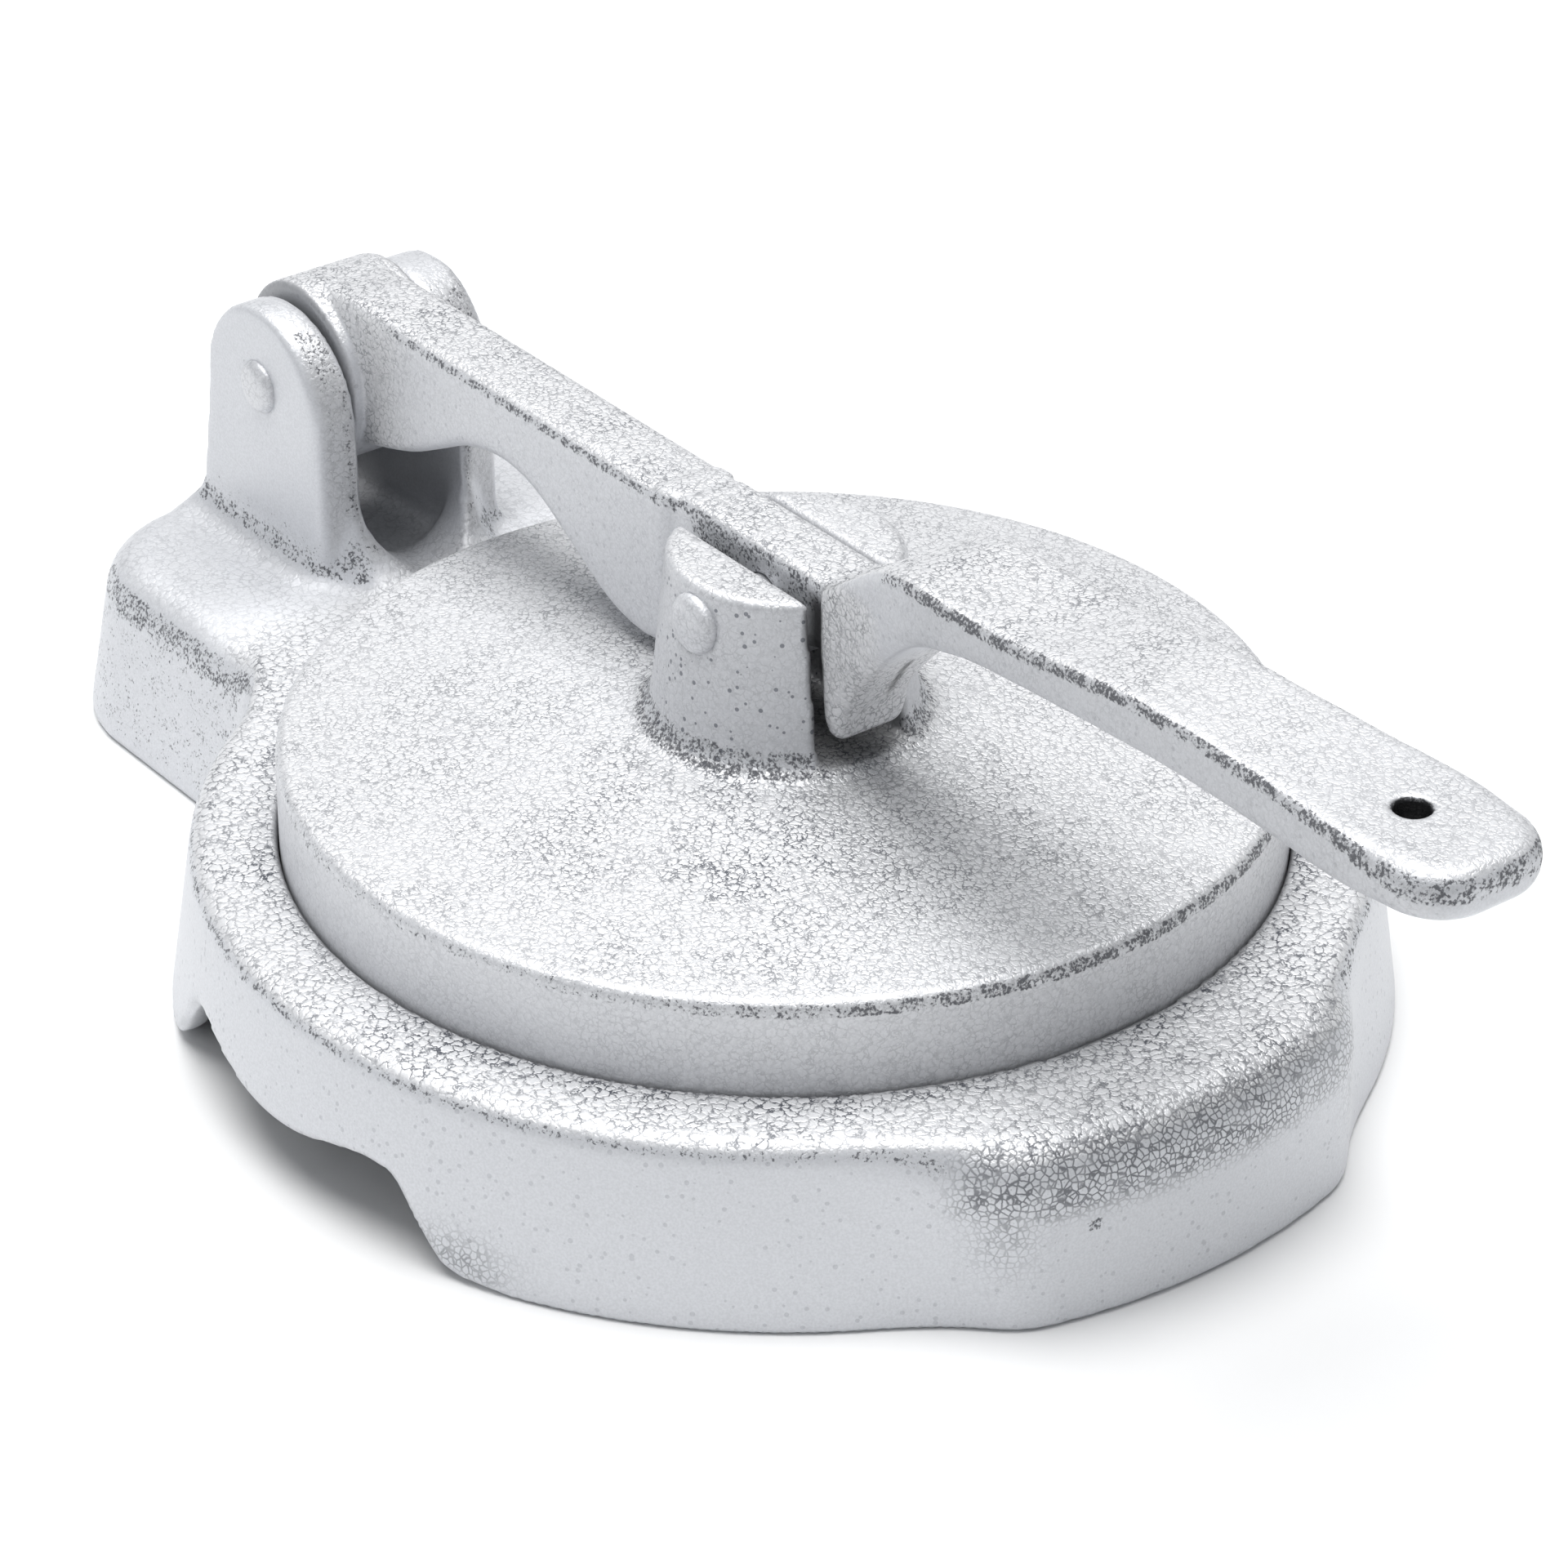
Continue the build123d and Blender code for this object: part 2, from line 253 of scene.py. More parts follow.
def y_disc(g, x, z, r):
    return np.sqrt((g.x - x) ** 2 + (g.z - z) ** 2) - r


# ------------------------------------------------------- how the paint behaves
def edge_band(nz):
    """Roundings between a wall and a top, where the paint ran thin."""
    return ease(0.04, 0.22, nz) * (1 - ease(0.58, 0.84, nz))


# ---------------------------------------------------------------- base casting
def paint_base(v, n):
    x, y, z = v.T
    r = np.hypot(x, y)
    nz = n[:, 2]
    ay = np.abs(y)
    outside = ease(55.3, 55.7, r)
    shown = outside * ease(-0.2, 0.0, nz)
    up = ease(0.55, 0.86, nz)
    ear = ease(24.0, 30.0, z) * ease(-66.0, -70.0, x)
    rear = ease(-60.0, -72.0, x)
    thin = ease(0.16, 0.34, nz) * (1 - ease(0.62, 0.86, nz))
    inside = ease(-66.0, -70.0, x) * (1 - ease(7.0, 7.8, ay)) * ease(19.5, 20.5, z)
    band = np.where(x < -62, edge_band(nz), thin) * shown * (1 - 0.55 * ear) * (1 - inside)
    # the foot of the clevis is darker over a wider strip
    foot = ease(-68.0, -72.0, x) * (1 - ease(26.0, 29.0, z)) * ease(21.4, 22.6, z)
    band = np.maximum(band, 0.75 * foot * (1 - ease(0.80, 0.97, nz)) * ease(8.0, 12.0, ay))
    # round cells on the lobe's shoulder and down its corners
    lobe = ease(59.5, 64.5, x) * (1 - ease(25.5, 30.0, ay)) * outside
    shoulder = lobe * ease(11.5, 15.5, z) * (1 - ease(0.80, 0.985, nz))
    corner = np.exp(-((x - 66.4) ** 2 + (ay - 23.4) ** 2) / 16.0) * ease(2.0, 14.0, z)
    patch = np.exp(-((x - 26.0) ** 2 / 30.0 + (z - 2.5) ** 2 / 11.0)) * ease(50.0, 55.0, -y)
    bubble = np.maximum.reduce([shoulder, 0.65 * corner * (1 - up), 0.75 * patch]) * shown
    bubble = bubble * (1 - 0.35 * ease(8.0, 20.0, y))
    # veins on the faces that look up, closest beside the bore
    near = 1 - ease(56.4, 60.5, r)
    vein = up * shown * (0.92 + 0.35 * near) * (1 - 0.70 * rear)
    face = (ease(21.5, 24.0, z) * ease(-66.0, -70.0, x) * ease(0.1, 0.5, n[:, 0])
            * (1 - ease(0.2, 0.6, np.abs(n[:, 1]))))
    vein = np.maximum(vein, 0.40 * face)
    band = np.maximum(band, 0.92 * face)
    # dark grains ringing the hinge rivet's head: paint pooled there, with painted contact shade
    d = np.hypot(x + 84.6, z - 42.2)
    ringed = ease(2.9, 3.3, d) * (1 - ease(3.7, 4.6, d)) * ease(11.6, 12.0, ay)
    band = np.maximum(band, 0.8 * ringed)
    # painted shade: the hollows of the underside are painted darker
    well = (1 - ease(0.2, 0.9, r - 64.1 + 0.17 * z)) * (1 - ease(11.2, 11.8, z))
    shaft = (1 - ease(0.2, 0.9, plinth_plan(x, ay) - 13.0 + 0.171 * z)) * (1 - ease(15.2, 15.8, z))
    painted_shade = 0.42 * np.maximum(well, shaft * ease(67.0, 67.6, r) * ease(-40.0, -60.0, x))
    # painted shade between the ears, under the hub
    painted_shade = np.maximum(painted_shade, 0.30 * inside * (1 - ease(-76.0, -70.0, x)))
    # painted shade on the ears' front faces, over their mottled veins and grains
    painted_shade = np.maximum(painted_shade, 0.20 * face)
    # painted shade on the bore's wall, in the seam below the plate
    painted_shade = np.maximum(painted_shade, 0.75 * (1 - ease(55.15, 55.75, r)) * ease(15.5, 16.5, z))
    # a casting pit on the lobe
    hit = np.sqrt((x - 69.9) ** 2 + (y + 14.4) ** 2 + (z - 11.6) ** 2)
    band = np.maximum(band, 1.1 * (1 - ease(0.7, 1.7, hit)))
    matt = np.exp(-((x + 70.0) ** 2 / 14.0 + (z - 22.0) ** 2 / 9.0))
    pin_dots = 0.17 * ease(-72.0, -62.0, x) + 0.05
    return {"band": band * (1 - 0.8 * bubble), "bubble": bubble, "vein": vein,
            "coarse": shown * ease(55.2, 55.6, r) * (1 - ear), "dark": painted_shade, "dots": pin_dots,
            "matt": matt}


def plinth_plan(x, ay):
    """Plan distance from the plinth's inner rectangle, which its walls run round."""
    ex, ey = -(x + 105.5 - 18.0), ay - (33.2 - 18.0)
    qx, qy = np.maximum(ex, 0), np.maximum(ey, 0)
    return np.where((qx == 0) & (qy == 0), np.maximum(ex, ey), np.sqrt(qx * qx + qy * qy))


def make_base():
    g = Grid((-108, -70.5, -1.5), (74, 70.5, 54), BASE_STEP)
    x, y, z = g.x, g.y, g.z
    ay = np.abs(y)
    r = np.sqrt(x * x + y * y)
    top = z - 21.0 + 0 * r
    # drafted skirt with a rounded upper edge
    wall = (r - (67.7 - z * (2.8 / 18.8))) * 0.989
    outer = smax(wall, top, 2.5)
    # front lobe: nearly upright walls, slanted sides and a broad shoulder
    lobe_wall = r - (71.55 - z * 0.015)
    side = 0.64 * (x - 67.4) + 0.77 * (ay - 22.9) + 0.01 * z
    lobe = smax(lobe_wall, side, 2.0)
    lobe = np.maximum(lobe, 50 - x)
    lobe = smax(lobe, top, 6.2)
    outer = smin(outer, lobe, 3.2)
    # rear plinth
    dz = z * 0.171
    flat = plinth_plan(x, ay)
    plan = np.maximum((flat - 18.0 + dz) * 0.985, x + 40)
    outer = smin(outer, smax(plan, top, 5.0), 7.0)
    outer = smax(outer, top, 0.4)
    # clevis ears, their front faces slanted and flared at the foot
    ear_pts = [(-99.3, 15.0), (-99.0, 22.0), (-97.6, 30.0), (-96.3, 38.0)]
    a = np.linspace(math.radians(176), math.radians(4), 25)
    ear_pts += [(-84.2 + 12.0 * math.cos(t), 40.0 + 12.0 * math.sin(t)) for t in a]
    ear_pts += [(-72.1, 36.0), (-72.0, 28.0), (-71.6, 15.0)]
    xs = x + 0.34 * (ay - 9.75) * np.clip((x + 84.0) / 10.0, 0, 1) + 0 * z
    prof = poly_sd(xs, z + 0 * xs, ear_pts)
    thick = np.where(y < 0, np.abs(ay - 9.75) - 2.55, np.abs(ay - 10.05) - 3.0)
    ears = smax(prof, thick + 0 * prof, np.where(y < 0, 1.15, 0.6) + 0 * prof)
    front = ease(-76.0, -73.0, x)
    k = 4.6 * (1 - front) + front * (3.4 + 7.6 * (1 - ease(7.6, 11.5, ay))) + 0 * z
    # low wall that closes the clevis at the rear
    back = smax(np.abs(x + 97.3) - 1.8 - 0.05 * (32.0 - z), z - 32.0 + 0 * x, 2.0)
    back = np.maximum(back + 0 * y, ay - 9.0)
    ears = smin(ears, back, 2.4)
    outer = smin(outer, ears, k)
    # mould
    bore = smax(r - 55.12, -(z - 15.0), 1.6)
    body = smax(outer, -bore, 0.3)
    # hollow underneath
    hollow = smax(r - (64.1 - z * 0.17), z - 11.0, 4.0)
    body = smax(body, -hollow, 1.0)
    core = flat - 18.0 + dz + 5.0
    core = np.maximum(core, x + 40.0)
    core = smax(smax(core, 67.8 - r, 3.0), z - 15.0, 4.0)
    body = smax(body, -core, 1.0)
    # arches through both sides of the skirt
    arch = np.vstack([
        [(-33.5, -6.0), (-33.0, -1.0)],
        spline([(-31.0, 0.1), (-28.6, 0.9), (-26.0, 3.2), (-23.6, 6.4), (-21.4, 8.8),
                (-18.5, 9.3), (-14.3, 8.3), (-9.2, 7.4), (-3.7, 6.8), (2.4, 7.1), (8.4, 8.5),
                (13.0, 9.3), (16.6, 9.0), (18.9, 6.9), (21.9, 3.2), (24.7, 0.9), (28.2, 0.1)], 6),
        [(31.0, -1.0), (31.5, -6.0)]])
    ap = poly_sd(x + 0 * z, z + 0 * x, arch) + 0 * y
    body = smax(body, -np.maximum(ap, 50 - ay), 1.3)
    # flat underside
    body = smax(body, -z + 0 * r, 1.0)
    # hinge pin bore
    body = np.maximum(body, -(y_disc(g, -84.6, 42.2, 2.6) + 0 * y))
    return to_object("base_body", g, body, paint_base)


BASE_STEP = 0.8
ob_base = make_base()
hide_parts("base_casting")
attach(ob_base, "base")


# --------------------------------------------------------------- lever casting
UNDER = spline([(15.6, 41.2), (16.5, 42.8), (17.8, 44.7), (19.7, 47.2), (21.7, 49.5),
                (23.7, 51.6), (26.3, 54.1), (28.7, 56.1), (30.9, 57.3), (33.1, 58.2),
                (35.5, 58.8), (40.5, 59.8), (54.0, 60.8), (66.0, 61.4), (80.0, 61.6),
                (98.0, 61.6), (109.0, 61.6)], 5)
OVER = spline([(109.0, 67.3), (98.0, 67.3), (86.0, 67.3), (74.0, 67.3), (64.0, 67.1),
               (54.0, 66.1), (46.0, 65.1), (38.0, 64.7), (32.0, 64.6), (28.5, 64.4),
               (26.0, 63.9), (23.3, 62.8), (21.0, 61.4), (18.3, 59.5), (16.0, 57.8),
               (12.3, 55.3)], 5)


def paint_lever(v, n):
    x, y, z = v.T
    ay = np.abs(y)
    nz = n[:, 2]
    up = ease(0.55, 0.86, nz)
    ox, oz = OVER[::-1, 0], OVER[::-1, 1]
    crest = np.where(x > 12.3, np.interp(x, ox, oz), np.where(x > -14, 55.2, 54.5))
    below = crest - z
    handle = ease(24.0, 34.0, x)
    # dark grains run along the upper edges and a little way down the sides
    wide = 1.3 - 0.1 * handle + 1.7 * ease(92.0, 104.0, x)
    mid = handle * (1 - ease(92.0, 102.0, x))
    over = 0.72 + 0.16 * mid
    run = (1 - ease(wide, wide + 1.1, below)) * ease(-0.2, 0.0, nz) * (1 - ease(over, over + 0.12, nz))
    back = ease(-74.0, -66.0, x)
    band = run * (0.55 + 0.49 * back + 0.08 * mid)
    nose = ease(10.0, 13.0, x) * (1 - ease(20.0, 27.0, x))
    band = band * (1 - 0.55 * nose)
    # dark grains on the web's sides inside the slot, laid on heavily as painted shade
    web = ease(-13.0, -11.0, x) * (1 - ease(11.0, 13.0, x))
    band = np.maximum(band, 0.98 * web * (1 - ease(3.5, 7.5, below)) * (1 - up))
    vein = (0.88 - 0.38 * ease(30.0, 95.0, x)) * up * ease(-0.1, 0.1, nz)
    vein = np.maximum(vein, 0.70 * nose * (1 - ease(56.0, 60.0, z)))
    hubside = 1 - ease(-72.0, -62.0, x)
    # painted shade: the hub's side face, shaded by the ear, is kept free of veins and painted dark
    disc = (1 - ease(10.9, 11.5, np.hypot(x + 84.6, z - 42.2))) * ease(5.9, 6.4, ay)
    vein = np.maximum(vein, (0.16 + 0.40 * hubside) * ease(0.6, 0.9, np.abs(n[:, 1])))
    vein = vein * (1 - disc)
    # painted shade inside the hole through the handle
    hole = np.hypot(x - 95.4, y)
    dark = (1 - ease(1.95, 2.25, hole)) * (1 - ease(0.45, 0.75, nz)) * ease(60.0, 61.0, z)
    # painted shade on the handle's sides; the top is also made a little darker towards the tip
    dark = np.maximum(dark, 0.13 * handle * ease(0.5, 0.9, ay / 7.0) * (1 - up))
    dark = np.maximum(dark, 0.05 * ease(80.0, 100.0, x) * up)
    dark = np.maximum(dark, 0.50 * disc)
    # painted shade: the wedge behind the nose, in the shadow of the slot, is painted nearly black
    wedge = ease(8.5, 10.5, x) * (1 - ease(12.6, 13.2, x)) * (1 - ease(52.5, 54.0, z))
    wedge = np.maximum(wedge, ease(0.3, 0.8, -n[:, 0]) * ease(11.0, 12.0, x) * (1 - ease(14.0, 16.0, x)))
    dark = np.maximum(dark, 0.90 * wedge)
    # scratch across the hollow of the nose
    a, b = np.array((12.9, 1.7, 39.6)), np.array((21.6, -0.3, 49.2))
    t = np.clip((v - a) @ (b - a) / ((b - a) @ (b - a)), 0, 1)
    off = np.linalg.norm(v - a - t[:, None] * (b - a), axis=1)
    dark = np.maximum(dark, 0.75 * (1 - ease(0.25, 0.75, off)))
    return {"band": band, "bubble": 0 * x, "vein": vein, "coarse": 0 * x, "dark": dark,
            "dots": 0.2 + 0 * x, "matt": 0 * x}


def make_lever():
    g = Grid((-97.5, -9.6, 29.5), (108.9, 9.6, 68.9), 0.5)
    x, y, z = g.x, g.y, g.z
    x2, z2 = x + 0 * z, z + 0 * x
    ay = np.abs(y)
    hub = smax(y_disc(g, -84.6, 42.2, 11.2), y_slab(g, 6.6), 0.8)
    low = spline([(-15.0, 36.3), (-20.0, 35.3), (-26.5, 36.8), (-34.0, 41.1), (-40.5, 44.6),
                  (-47.0, 45.7), (-54.0, 44.3), (-60.0, 41.4), (-66.0, 38.6), (-75.0, 36.0),
                  (-84.6, 34.0)], 5)
    beam_pts = np.vstack([[(-84.6, 53.3), (-76.0, 54.4), (-15.0, 54.5)], low])
    beam = smax(poly_sd(x2, z2, beam_pts) + 0 * y, y_slab(g, 4.8), 1.8)
    web_pts = [(-17.0, 54.5), (-14.0, 54.8), (-12.0, 55.2), (12.9, 55.3), (12.9, 46.6),
               (10.6, 46.9), (8.5, 46.3), (6.0, 44.4), (2.5, 41.4), (-2.0, 39.0),
               (-8.0, 37.3), (-17.0, 36.0)]
    web = smax(poly_sd(x2, z2, web_pts) + 0 * y, y_slab(g, 4.0), 1.3)
    nose_pts = [(12.3, 55.3), (12.3, 46.0), (12.5, 42.6), (12.8, 40.0), (13.3, 38.4),
                (14.2, 37.6), (15.0, 38.2), (15.3, 39.6)]
    prof = np.vstack([nose_pts, UNDER, OVER[:-1]])
    side = poly_sd(x2, z2, prof) + 0 * y
    plan_hw = np.interp(x, [12, 16, 21, 26, 33, 72, 83, 97, 107.9],
                        [5.2, 5.4, 6.0, 6.8, 7.5, 7.5, 7.9, 8.85, 8.6])
    sect_hw = np.interp(z, [37.0, 38.6, 40.3, 42.5, 46, 58, 61.4, 69],
                        [3.8, 4.6, 5.1, 5.2, 5.2, 7.5, 9.2, 9.2])
    hw = -smax(-plan_hw + 0 * z, -sect_hw + 0 * x, 0.8)
    tx = np.maximum(x - (107.9 - 6.5), 0)
    ty = np.maximum(ay - (hw - 6.5), 0)
    plan = np.where(tx > 0, np.sqrt(tx * tx + ty * ty) - 6.5, ay - hw)
    k = 0.9 + (0.1 + 1.9 * np.clip((56.0 - z) / 12.0, 0, 1)) * ease(13.4, 17.0, x)
    k = k + 0.2 * ease(17.0, 30.0, x) + 1.8 * ease(92.0, 104.0, x)
    handle = smax(side, plan, k)
    body = smin(hub, beam, 0.5)
    body = smin(body, web, 1.4)
    body = smin(body, handle, 1.2)
    body = np.maximum(body, -(y_disc(g, -84.6, 42.2, 2.65) + 0 * y))
    body = np.maximum(body, -(y_disc(g, 1.0, 49.0, 2.85) + 0 * y))
    hole = np.sqrt((x - 95.4) ** 2 + y * y) - 1.85 + 0 * z
    body = smax(body, -hole, 0.4)
    return to_object("lever_body", g, body, paint_lever)


ob_lever = make_lever()
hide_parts("lever_casting")
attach(ob_lever, "lever")


# ----------------------------------------------------------------- press plate
def paint_plate(v, n):
    x, y, z = v.T
    r = np.hypot(x, y)
    nz = n[:, 2]
    up = ease(0.55, 0.86, nz)
    shown = ease(-0.2, 0.0, nz)
    rim = ease(53.2, 53.9, r) * ease(29.2, 30.0, z) * (1 - ease(0.76, 0.95, nz))
    # dark grains round the post's foot, laid on heavily to paint the shade there as well
    foot = (1 - ease(16.6, 17.6, r)) * ease(33.2, 33.8, z) * (1 - ease(36.2, 38.2, z))
    foot = foot * (1 - ease(0.88, 0.99, nz)) * ease(13.2, 13.7, r)
    lip = (1 - ease(0.5, 0.9, nz)) * ease(52.4, 53.2, z) * 0.35
    right = ease(-30.0, 45.0, x + y)
    band = np.maximum.reduce([(0.84 + 0.28 * right) * rim, 1.05 * foot, lip])
    # dark grains ringing the plate rivet's head: paint pooled there, with painted contact shade
    d = np.hypot(x - 1.0, z - 49.0)
    ringed = ease(3.1, 3.5, d) * (1 - ease(3.9, 5.0, d)) * (1 - up) * ease(9.0, 11.0, np.abs(y))
    band = np.maximum(band, 0.72 * ringed) * shown
    inner = 1 - ease(20.0, 48.0, r)
    front = np.exp(-((x - 20.0) ** 2 + (y + 18.0) ** 2) / 500.0)
    vein = shown * up * (0.64 + 0.10 * inner + 0.34 * front) * (1 - 0.25 * ease(50.0, 52.0, z))
    vein = np.maximum(vein, (0.20 + 0.12 * right) * shown * ease(53.0, 54.5, r))
    vein = np.maximum(vein, shown * (1 - up) * 0.22 * (1 - ease(14.0, 16.0, r)) * ease(34.0, 36.0, z))
    # painted shade: the slot in the post is painted dark, and the post's walls, the rim wall on the
    # right and the front of the top a little darker
    post = (1 - ease(15.0, 16.0, r)) * ease(34.0, 35.0, z)
    slot = post * (1 - ease(6.0, 6.6, np.abs(y))) * (1 - ease(52.0, 53.2, z))
    return {"band": band, "bubble": 0 * x, "vein": vein, "coarse": 0 * x,
            "dark": np.maximum.reduce([0.5 * slot, 0.07 * post * (1 - up),
                                       0.06 * right * ease(54.0, 54.8, r) * (1 - up),
                                       0.06 * front * up]),
            "dots": 0.1 + 0.85 * post, "matt": 0 * x}


def make_plate():
    g = Grid((-56.5, -56.5, 14.0), (56.5, 56.5, 55.0), 0.65)
    x, y, z = g.x, g.y, g.z
    r = np.sqrt(x * x + y * y)
    rim = r - 55.0 + np.clip(19.5 - z, 0, 4) * 0.14
    cone = (z - (31.5 + (55.0 - r) * (2.4 / 38.0))) * 0.998
    disc = smax(smax(rim, cone, 1.3), 15.5 - z + 0 * r, 1.6)
    recess = smax(r - 49.7, z - 25.6, 3.5)
    disc = smax(disc, -recess, 1.2)
    post = smax((r - (14.4 - (z - 37.0) * (1.6 / 16.6))) * 0.995, z - 53.6 + 0 * r, 0.7)
    post = np.maximum(post, 28 - z)
    body = smin(disc, post, 3.4)
    slot = smax(np.abs(y) - 5.7 + 0 * z, 34.9 - z + 0 * y, 1.0) + 0 * x
    body = smax(body, -slot, 0.6)
    body = np.maximum(body, -(y_disc(g, 1.0, 49.0, 2.8) + 0 * y))
    return to_object("plate_body", g, body, paint_plate)


ob_plate = make_plate()
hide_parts("press_plate")
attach(ob_plate, "plate")


# ------------------------------------------------------------------------ pins
def make_pin(name, cx, cz, r, half, head_r, head_t):
    """A pin along Y with low heads, peened over and rounded at the rim."""
    prof = [(0.0, -half - head_t)]
    n = 9
    for i in range(1, n + 1):
        t = i / n
        q = head_r * math.sin(t * math.pi / 2) ** 0.75
        prof.append((q, -half - head_t * (1 - (q / head_r) ** 3.6) ** 0.6))
    prof += [(head_r, -half + 0.9), (r, -half + 0.9)]
    prof += [(q, -yy) for q, yy in prof[::-1]]
    seg = 48
    verts, faces = [], []
    for q, yy in prof:
        for s in range(seg):
            t = 2 * math.pi * s / seg
            verts.append(((cx + q * math.cos(t)) / 1000, yy / 1000, (cz + q * math.sin(t)) / 1000))
    for i in range(len(prof) - 1):
        for s in range(seg):
            a, b = i * seg + s, i * seg + (s + 1) % seg
            faces.append((a, b, b + seg, a + seg))
    me = bpy.data.meshes.new(name)
    me.from_pydata(verts, [], faces)
    me.update()
    bm = bmesh.new()
    bm.from_mesh(me)
    bmesh.ops.remove_doubles(bm, verts=bm.verts, dist=1e-6)
    bmesh.ops.recalc_face_normals(bm, faces=bm.faces)
    bm.to_mesh(me)
    bm.free()
    for p in me.polygons:
        p.use_smooth = True
    co = np.empty(len(me.vertices) * 3, np.float32)
    me.vertices.foreach_get("co", co)
    co = co.reshape(-1, 3) * 1000
    q = np.hypot(co[:, 0] - cx, co[:, 2] - cz) / head_r
    put(me, {"band": 0.62 * ease(0.72, 0.98, q), "bubble": 0 * q, "vein": 0.25 + 0 * q,
             "coarse": 0 * q, "dark": 0 * q, "dots": 0.2 + 0 * q, "matt": 0 * q})
    ob = bpy.data.objects.new(name, me)
    bpy.context.scene.collection.objects.link(ob)
    return ob


pin1 = make_pin("hinge_rivet", -84.6, 42.2, 2.58, 12.3, 3.2, 1.15)
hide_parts("hinge_pin")
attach(pin1, "base")
pin2 = make_pin("plate_rivet", 1.0, 49.0, 2.78, 13.0, 3.4, 1.25)
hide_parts("plate_pin")
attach(pin2, "plate")


# ======================================================================
# Hammered silver enamel: pale cells between dark veins on the faces that look
# up, smooth and pin-dotted on the walls, dark grains along the roundings
# ======================================================================
def enamel(name):
    m = bpy.data.materials.new(name)
    m.use_nodes = True
    nt = m.node_tree
    N, L = nt.nodes, nt.links
    N.clear()

    def new(kind, **kw):
        n = N.new(kind)
        for k, v in kw.items():
            setattr(n, k, v)
        return n

    def feed(sock, v):
        if isinstance(v, (int, float, tuple)):
            sock.default_value = v
        else:
            L.new(v, sock)

    def calc(op, a, b=None, c=None, clamp=False):
        n = new("ShaderNodeMath", operation=op, use_clamp=clamp)
        for i, v in enumerate((a, b, c)):
            if v is not None:
                feed(n.inputs[i], v)
        return n.outputs[0]

    def remap(v, lo, hi, a=0.0, b=1.0):
        n = new("ShaderNodeMapRange", interpolation_type="SMOOTHSTEP")
        feed(n.inputs[0], v)
        for i, q in enumerate((lo, hi, a, b)):
            feed(n.inputs[i + 1], q)
        return n.outputs[0]

    def noise(scale, detail=2.0, rough=0.5, vec=None):
        n = new("ShaderNodeTexNoise")
        n.inputs["Scale"].default_value = scale
        n.inputs["Detail"].default_value = detail
        n.inputs["Roughness"].default_value = rough
        L.new(vec or pos, n.inputs["Vector"])
        return n

    def cells(scale, feature, vec, rnd=1.0):
        n = new("ShaderNodeTexVoronoi", feature=feature)
        n.inputs["Scale"].default_value = scale
        n.inputs["Randomness"].default_value = rnd
        L.new(vec, n.inputs["Vector"])
        return n

    def mixc(f, a, b):
        n = new("ShaderNodeMix", data_type="RGBA")
        feed(n.inputs["Factor"], f)
        feed(n.inputs[6], a)
        feed(n.inputs[7], b)
        return n.outputs[2]

    def mixf(f, a, b):
        n = new("ShaderNodeMix", data_type="FLOAT")
        feed(n.inputs["Factor"], f)
        feed(n.inputs[2], a)
        feed(n.inputs[3], b)
        return n.outputs[0]

    def attr(key):
        return new("ShaderNodeAttribute", attribute_name=key).outputs["Fac"]

    out = new("ShaderNodeOutputMaterial")
    bsdf = new("ShaderNodeBsdfPrincipled")
    L.new(bsdf.outputs[0], out.inputs[0])
    pos = new("ShaderNodeTexCoord").outputs["Object"]
    band, bubble, vein_a = attr("band"), attr("bubble"), attr("vein")
    coarse, dark_a, dots_a, matt = attr("coarse"), attr("dark"), attr("dots"), attr("matt")

    def wobbled(scale, amount):
        w = noise(scale, 2.0, 0.6)
        sub = new("ShaderNodeVectorMath", operation="SUBTRACT")
        L.new(w.outputs["Color"], sub.inputs[0])
        sub.inputs[1].default_value = (0.5, 0.5, 0.5)
        sc = new("ShaderNodeVectorMath", operation="SCALE")
        L.new(sub.outputs[0], sc.inputs[0])
        sc.inputs["Scale"].default_value = amount
        add = new("ShaderNodeVectorMath", operation="ADD")
        L.new(pos, add.inputs[0])
        L.new(sc.outputs[0], add.inputs[1])
        return add.outputs[0]

    # fine and coarse vein networks
    bent = wobbled(1500.0, 0.0011)
    v1 = cells(1160.0, "DISTANCE_TO_EDGE", bent).outputs["Distance"]
    v2 = cells(900.0, "DISTANCE_TO_EDGE", bent).outputs["Distance"]
    line1 = remap(v1, 0.020, 0.140, 1.0, 0.0)
    line2 = remap(v2, 0.020, 0.130, 1.0, 0.0)
    line = mixf(coarse, line1, line2)
    # the veins come and go, over short and over longer stretches
    broken = remap(noise(900.0, 2.0).outputs["Fac"], 0.33, 0.58, 0.30, 1.0)
    fields = remap(noise(95.0, 3.0).outputs["Fac"], 0.36, 0.66, 0.62, 1.0)
    vein = calc("MULTIPLY", calc("MULTIPLY", line, broken), calc("MULTIPLY", vein_a, fields))
    # round cells
    foam = wobbled(1400.0, 0.00025)
    b1 = cells(1350.0, "DISTANCE_TO_EDGE", foam, 0.85).outputs["Distance"]
    b2 = cells(1350.0, "F1", foam, 0.85).outputs["Distance"]
    ringed = remap(b1, 0.03, 0.17, 0.85, 0.0)
    core = remap(b2, 0.06, 0.16, 0.35, 0.0)
    amount = calc("MULTIPLY", bubble, remap(noise(420.0, 2.0).outputs["Fac"], 0.3, 0.62, 0.72, 1.0))
    bub = calc("MULTIPLY", calc("MAXIMUM", ringed, core), amount)
    # dark grains along the roundings
    gr = noise(2700.0, 3.0, 0.62).outputs["Fac"]
    patchy = remap(noise(620.0, 2.0).outputs["Fac"], 0.30, 0.60, 0.72, 1.0)
    s = calc("MULTIPLY_ADD", calc("MULTIPLY", band, patchy), 0.54, calc("MULTIPLY", gr, 0.95))
    grains = calc("MULTIPLY", remap(s, 0.94, 1.10), 0.88)
